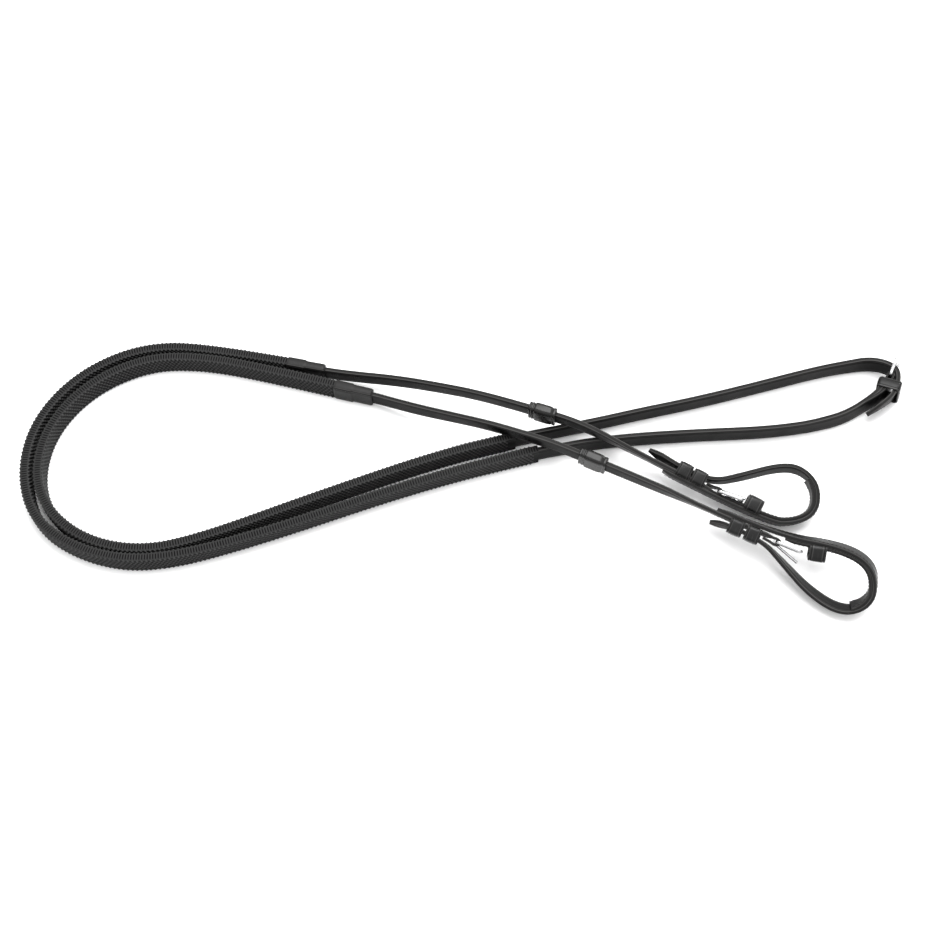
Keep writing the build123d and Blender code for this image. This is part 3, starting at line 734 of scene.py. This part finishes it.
cutter = bmesh.new()
slot_at(cutter, JOIN_PLANE, 0, 1.0)
cut_away(near_hand, cutter)
cutter = bmesh.new()
punch(cutter, off_hand_line, on_plane(JOIN_PLANE, 10.2, -1.3), TONGUE_HOLE_RADIUS)
punch(cutter, off_hand_line, on_plane(JOIN_PLANE, -29.4, 3.5), HOLE_RADIUS)
cut_away(off_hand, cutter)
for rein, line, plane, bar, holes in (
        ("near", near_billet_line, NEAR_PLANE, NEAR_BAR, [(50, 5.5), (40, 4.9)]),
        ("off", off_billet_line, OFF_PLANE, OFF_BAR, [(45.6, 5.2), (35.8, 4.8)])):
    cutter = bmesh.new()
    slot_at(cutter, plane, bar, BAR_Y)
    cut_away(front_straps[rein], cutter)
    cutter = bmesh.new()
    for hole in holes:
        punch(cutter, line, on_plane(plane, *hole), HOLE_RADIUS)
    cut_away(billets[rein], cutter)

# %% [markdown]
# ## Rubber grips
# A grip is a long sleeve with small slanting pips on both faces and fine ribs across both edges.
# The pips and ribs catch the light one by one and roughen the outline, so they are real geometry.
# Each pip is a cone with six sides, cut off low, which is enough at this size.

# %% Grips
GRIP_WIDTH, GRIP_THICKNESS = 18.0, 6.6
RIB_STATIONS = 4  # stations in one rib
PIP_PITCH, PIP_ROW, PIP_ROWS = 3.3 * MM, 2.58 * MM, 7
PIP_BATCH = 6  # columns of pips made at once
COVER_LENGTH = 31.0 * MM
grip_quarter = [(0, 3.1), (4, 3.1), (7.4, 3.1), (7.9, 3.3), (8.35, 3.05), (8.75, 2.6), (8.9, 1.5),
                (8.95, 0)]
grip_outline = [(w * MM, t * MM) for w, t in mirrored(grip_quarter)]


def ribbed_edge(distance, w, t):
    """Sinks the grooves between the ribs of both edges."""
    edge = eased(abs(w), 8.0 * MM, 8.7 * MM)
    groove = 0.5 + 0.5 * cos(2 * pi * distance / RIB_PITCH)
    return w - copysign(RIB_HEIGHT * groove * edge, w), t


def add_pip(made, station, distance, w, side):
    """A slanting pip on one face: side is 1 for the left face and -1 for the right one."""
    strap = made.verts.layers.float_vector.get("strap")
    turn = Matrix.Rotation(side * -pi / 2, 4, "X") @ Matrix.Rotation(radians(35), 4, "Z")
    size = Matrix.Diagonal((0.8 * MM, 1.35 * MM, 0.9 * MM, 1))
    place = Matrix.Translation((w, side * (GRIP_THICKNESS / 2 * MM + 0.05 * MM), 0))
    cone = bmesh.ops.create_cone(made, cap_ends=True, segments=6, radius1=1.0, radius2=0.45,
                                 depth=1.0, matrix=station @ place @ turn @ size)
    for vert in cone["verts"]:
        vert[strap] = (distance, w, side * 3.9 * MM)


def add_pips(made, line, start, end):
    """Columns of staggered pips. They are made a few columns at a time, which is much faster."""
    columns = int((end - start) / PIP_PITCH)
    for first in range(0, columns, PIP_BATCH):
        batch = bmesh.new()
        batch.verts.layers.float_vector.new("strap")
        for column in range(first, min(first + PIP_BATCH, columns)):
            for row in range(PIP_ROWS):
                w = (row - (PIP_ROWS - 1) / 2) * PIP_ROW
                distance = start + (column + 0.5 * (row % 2)) * PIP_PITCH
                for side in (1, -1):
                    add_pip(batch, line.station(distance), distance, w, side)
        mesh = bpy.data.meshes.new("pips")
        batch.to_mesh(mesh)
        batch.free()
        made.from_mesh(mesh)
        bpy.data.meshes.remove(mesh)
    return columns * PIP_ROWS * 2


def grip(rein, line, back_point):
    made = bmesh.new()
    start, end = COVER_LENGTH / 2 - 0.001, line.nearest(back_point)
    step = RIB_PITCH / RIB_STATIONS
    places = [start + i * step for i in range(round((end - start) / step) + 1)]
    wrap(made, [(place, line.station(place)) for place in places], grip_outline,
         shape=ribbed_edge)
    pips = add_pips(made, line, start + 0.003, end - 0.003)
    print(f"{rein} grip: {round(end - start, 3)} m long, {pips} pips")
    finished(made, f"{rein}_grip_rubber", grip_material, "reins",
             [f"{rein}_grip"], 60)


grip("near", near_hand_line, in_metres(*NEAR_GRIP_ROUTE[-1], GRIP_MIDDLE))
grip("off", off_hand_line, in_metres(*OFF_GRIP_ROUTE[-1], GRIP_MIDDLE))

# %% [markdown]
# ## End covers
# Where the strap narrows, a leather cover is sewn over the joint. It is a flat tube with a step in
# its middle, and it closes down a little towards the narrow strap.

# %% End covers
COVER_THICKNESS = 8.4
cover_outline = strap_outline(GRIP_WIDTH, COVER_THICKNESS, 2.2, 0.15, 1.6)


def stepped_cover(distance, w, t):
    """Thick over the grip's end, a step down at the middle, and rounded at both ends."""
    thin = 1 - 0.17 * eased(distance, 0.0145, 0.0155)
    ends = min(distance, COVER_LENGTH - distance)
    rounded = 0.86 + 0.14 * eased(ends, -0.0006, 0.0014)
    return w * rounded * (1 - 0.03 * eased(distance, 0.0145, 0.0155)), t * thin * rounded


def end_cover(rein, front, behind):
    """A straight piece from behind to front, both places on the table."""
    start, end = in_metres(*behind, GRIP_MIDDLE), in_metres(*front, GRIP_MIDDLE)
    line = StrapLine([(start.lerp(end, i / 3), Z_UP) for i in range(4)])
    made = bmesh.new()
    wrap(made, line.stations(0, line.length, 0.0006), cover_outline, shape=stepped_cover)
    finished(made, f"{rein}_grip_end_cover_leather", cover_leather, "reins",
             [f"{rein}_grip_end_cover"])


end_cover("near", (-116, 83.8), (-146.3, 90.2))
end_cover("off", (-78, 61.5), (-108, 69.3))

# %% [markdown]
# ## Keepers
# A keeper is a short leather band sewn into a ring round the strap. The same wrapping tool makes
# it: the stations go round a rounded rectangle, and the outline is the band's own section, with a
# crease along each edge.

# %% Keepers
KEEPER_WALL, KEEPER_CROWN = 1.4, 0.3  # the crown is how far a band's outside swells
KEEPER_LENGTH, FRONT_KEEPER_LENGTH, CENTRE_KEEPER_LENGTH = 11.0, 12.6, 9.0
KEEPER_HALF_WIDTH = 6.8


def rounded_rectangle(low, high, half_height, radius, arc_steps=6):
    """Points and outward directions round a rectangle, in a plane's y and z."""
    corners = [(high, half_height, 0), (low, half_height, 90), (low, -half_height, 180),
               (high, -half_height, 270)]
    around = []
    for y, z, first in corners:
        centre = (y - radius if y == high else y + radius, z - radius if z > 0 else z + radius)
        for i in range(arc_steps + 1):
            angle = radians(first + 90 * i / arc_steps)
            around.append((centre[0] + radius * cos(angle), centre[1] + radius * sin(angle),
                           angle))
    return around


def ring_stations(plane, x, around):
    """Stations round a ring in the plane's y and z. The band's width lies along the plane's x."""
    forward = plane.col[0].to_3d()
    across, normal = plane.col[1].to_3d(), plane.col[2].to_3d()
    stations, distance, before = [], 0.0, None
    for y, z, angle in around:
        place = on_plane(plane, x, y, z)
        distance += (place - before).length if before else 0.0
        before = place
        outward = across * cos(angle) + normal * sin(angle)
        stations.append((distance, frame_matrix(forward, outward, outward.cross(forward), place)))
    return stations


def keeper_piece(name, plane, start, length, low, high, half_width, radius):
    half = KEEPER_WALL / 2
    around = rounded_rectangle(low - half, high + half, half_width + half, radius)
    made = bmesh.new()
    outline = [(w, t + KEEPER_CROWN * MM * (1 - (2 * w / (length * MM)) ** 2) if t > 0 else t)
               for w, t in strap_outline(length, KEEPER_WALL, 1.5, 0.32, 0.45)]
    wrap(made, ring_stations(plane, start + length / 2, around), outline, closed=True)
    finished(made, f"{name}_leather", keeper_leather, "reins", [name], 35)


def front_keeper_plane(plane, start, end, share, lean):
    """The plane at a front keeper: on one straight run of the billet, x along it."""
    here = Vector(start).lerp(Vector(end), share)
    run = Vector(end) - Vector(start)
    turn = Matrix.Rotation(Vector((1, 0)).angle_signed(run) * -1, 4, "Z")
    lean = Matrix.Rotation(radians(lean), 4, "X")
    return plane @ Matrix.Translation((here.x * MM, here.y * MM, 0)) @ turn @ lean


near_front_plane = front_keeper_plane(NEAR_PLANE, NEAR_BILLET[0], NEAR_BILLET[1], 0.83, 0)
off_front_plane = front_keeper_plane(OFF_PLANE, OFF_BILLET[1], OFF_BILLET[2], 0.64, 14)
for rein, plane, rear, middle, front in (("near", NEAR_PLANE, 30.5, 42.7, near_front_plane),
                                         ("off", OFF_PLANE, 25.5, 38.7, off_front_plane)):
    for which, start in (("rear", rear), ("middle", middle)):
        keeper_piece(f"{rein}_bit_{which}_keeper", plane, start - 0.3, KEEPER_LENGTH, -0.6, 8.2,
                     KEEPER_HALF_WIDTH, 2.1)
    keeper_piece(f"{rein}_bit_front_keeper", front, -FRONT_KEEPER_LENGTH / 2, FRONT_KEEPER_LENGTH,
                 2.75, 12.6, KEEPER_HALF_WIDTH, 3.0)
keeper_piece("centre_keeper", JOIN_PLANE, -13.5, CENTRE_KEEPER_LENGTH, -8.2, 7.0, 8.25, 2.0)

# %% [markdown]
# ## Rein stops
# A rein stop is a rubber barrel with a flat slot, and it slides on the front strap. It is wrapped
# as a ring too: the section has a ridged collar at one end, a fat middle and a thinner rim.

# %% Rein stops
STOP_WALL = 2.2
STOP_SLOT_WIDTH, STOP_SLOT_THICKNESS = 13.8, 4.8
stop_section = [(-11.0, -1.0), (-10.4, 0.35), (-9.6, 0.45), (-9.1, 0.1), (-8.6, 0.1), (-8.1, 0.5),
                (-7.2, 0.5), (-6.7, 0.15), (-6.2, 0.2), (-5.6, 0.95), (-4.8, 1.15), (4.6, 1.15),
                (6.6, 0.95), (7.6, 0.55), (8.2, 0.35), (8.9, 0.7), (10.2, 0.7), (10.8, 0.35),
                (11.0, -1.0)]


def rein_stop(rein, line, centre):
    middle = line.station(line.nearest(centre))
    up, left, forward = (middle.col[i].to_3d() for i in range(3))
    plane = frame_matrix(forward, left, up, middle.translation)
    half_thick = STOP_SLOT_THICKNESS / 2 + STOP_WALL / 2
    half_wide = STOP_SLOT_WIDTH / 2 + STOP_WALL / 2
    around = rounded_rectangle(-half_thick, half_thick, half_wide, 1.9, 8)
    made = bmesh.new()
    outline = [(x * MM, y * MM) for x, y in stop_section]
    wrap(made, ring_stations(plane, 0, around), outline, closed=True)
    finished(made, f"{rein}_rein_stop_rubber", stop_material, f"{rein}_stop",
             [f"{rein}_rein_stop"], 35)


def share_between(first, second, share):
    return in_metres(*first[:3]).lerp(in_metres(*second[:3]), share)


rein_stop("near", near_front_line, share_between(NEAR_FRONT[5], NEAR_FRONT[6], 0.79))
rein_stop("off", off_front_line, share_between(OFF_FRONT[8], OFF_FRONT[9], 0.27))

# %% [markdown]
# ## Stitching
# The layers are held by rows of short slanting stitches in waxed thread, sunk a little into the
# leather. A low ball of six by four faces, drawn out long, is enough for one stitch.

# %% Stitching
STITCH_PITCH, STITCH_LENGTH = 3.1 * MM, 2.3 * MM
FRONT_ROW, HAND_ROW = 4.85, 6.3  # from the strap's middle to each row


def stitch_row(made, line, start, end, w, t):
    distance = start
    while distance < end:
        slant = Matrix.Rotation(radians(12 if t > 0 else -12), 4, "Y")
        matrix = (line.station(distance) @ Matrix.Translation((w * MM, t * MM, 0)) @ slant
                  @ Matrix.Diagonal((0.34 * MM, 0.15 * MM, STITCH_LENGTH / 2, 1)))
        bmesh.ops.create_uvsphere(made, u_segments=6, v_segments=4, radius=1.0, matrix=matrix)
        distance += STITCH_PITCH


def both_edges(made, line, start, end, w, t):
    for side in (1, -1):
        stitch_row(made, line, start, end, side * w, t)


for rein, front_line, billet_line, plane, bar in (
        ("near", near_front_line, near_billet_line, NEAR_PLANE, NEAR_BAR),
        ("off", off_front_line, off_billet_line, OFF_PLANE, OFF_BAR)):
    made = bmesh.new()
    first = billet_line.nearest(on_plane(plane, 23, BILLET_LAYER))
    last = liner_spans[rein][1]
    both_edges(made, billet_line, first, last - 0.003, FRONT_ROW, -BILLET_THICKNESS / 2 - 0.04)
    liner_face = BILLET_THICKNESS / 2 + SEAM + LINER_THICKNESS + 0.02
    both_edges(made, billet_line, liner_spans[rein][0] + 0.004, last - 0.003, FRONT_ROW,
               liner_face)
    strap_start = front_line.nearest(on_plane(plane, 12, 0))
    strap_end = front_line.nearest(on_plane(plane, bar - 13, 0))
    inner = 1 if rein == "near" else -1
    both_edges(made, front_line, strap_start, strap_end, FRONT_ROW,
               inner * (FRONT_THICKNESS / 2 + 0.02))
    finished(made, f"{rein}_bit_stitching", thread, "reins", (), 60)

made = bmesh.new()
join_start = near_hand_line.nearest(on_plane(JOIN_PLANE, -27, 14.2))
both_edges(made, near_hand_line, join_start, near_bar_at - 0.012, HAND_ROW,
           HAND_THICKNESS / 2 + 0.02)
finished(made, "centre_join_stitching", thread, "reins", (), 60)

# %% [markdown]
# ## Free straps
# The hand straps and front straps are flexible. Each one's line is sampled, and its length is
# printed beside the strap's real length.
# They start in the end covers and end folded round, or passed through, a buckle.

# %% Sampled strap lines
PATH_PARTS = 240


def sampled_path(line):
    return [tuple(line.station(line.length * i / PATH_PARTS).translation)
            for i in range(PATH_PARTS + 1)]


for piece, line, length, width in ((near_hand, near_hand_line, 1.05, HAND_WIDTH),
                                   (off_hand, off_hand_line, 1.07, HAND_WIDTH),
                                   (front_straps["near"], near_front_line, 0.345, FRONT_WIDTH),
                                   (front_straps["off"], off_front_line, 0.35, FRONT_WIDTH)):
    sampled_path(line)
    print(f"{piece.name}: line {line.length:.3f} m, declared {length} m")

# %% [markdown]
# ## Floor and light
# A pale floor under a large soft light from above and behind gives black leather its long grey
# highlights. A bright even surrounding fills the shadows.

# %% Floor and lights
def floor_material():
    material, tree, shader = new_material("floor_paper")
    spot = add_node(tree, "ShaderNodeTexCoord").outputs["Object"]
    fibre = noise(tree, spot, 500, 3)
    tree.links.new(blend_colour(tree, fibre, (0.93, 0.93, 0.93), (0.96, 0.96, 0.96)),
                   shader.inputs["Base Color"])
    shader.inputs["Roughness"].default_value = 0.9
    return material


made = bmesh.new()
bmesh.ops.create_grid(made, x_segments=1, y_segments=1, size=6)
floor = mesh_object(made, "floor")
floor.data.materials.append(floor_material())


def soft_light(name, location, size, power):
    light = bpy.data.lights.new(name, "AREA")
    light.shape, light.size, light.energy = "DISK", size, power
    lamp = bpy.data.objects.new(name, light)
    lamp.location = location
    lamp.rotation_mode = "QUATERNION"
    lamp.rotation_quaternion = (-Vector(location)).to_track_quat("-Z", "Y")
    bpy.context.scene.collection.objects.link(lamp)


soft_light("over_light", (0.1, 0.45, 1.5), 1.2, 26)
soft_light("side_light", (1.2, 0.9, 0.9), 0.5, 8)
world = bpy.data.worlds.new("studio")
bpy.context.scene.world = world
world.use_nodes = True
backdrop = world.node_tree.nodes["Background"]
backdrop.inputs["Color"].default_value = (1, 1, 1, 1)
sky = add_node(world.node_tree, "ShaderNodeTexCoord").outputs["Generated"]
height = add_node(world.node_tree, "ShaderNodeSeparateXYZ", {0: sky}).outputs[2]
seen = add_node(world.node_tree, "ShaderNodeLightPath").outputs["Is Camera Ray"]
glow = ramp(world.node_tree, height, 0.0, 0.8, 0.35, 1.6)
world.node_tree.links.new(math_node(world.node_tree, "MAXIMUM", glow, seen),
                          backdrop.inputs["Strength"])
bpy.context.scene.view_settings.view_transform = "Standard"
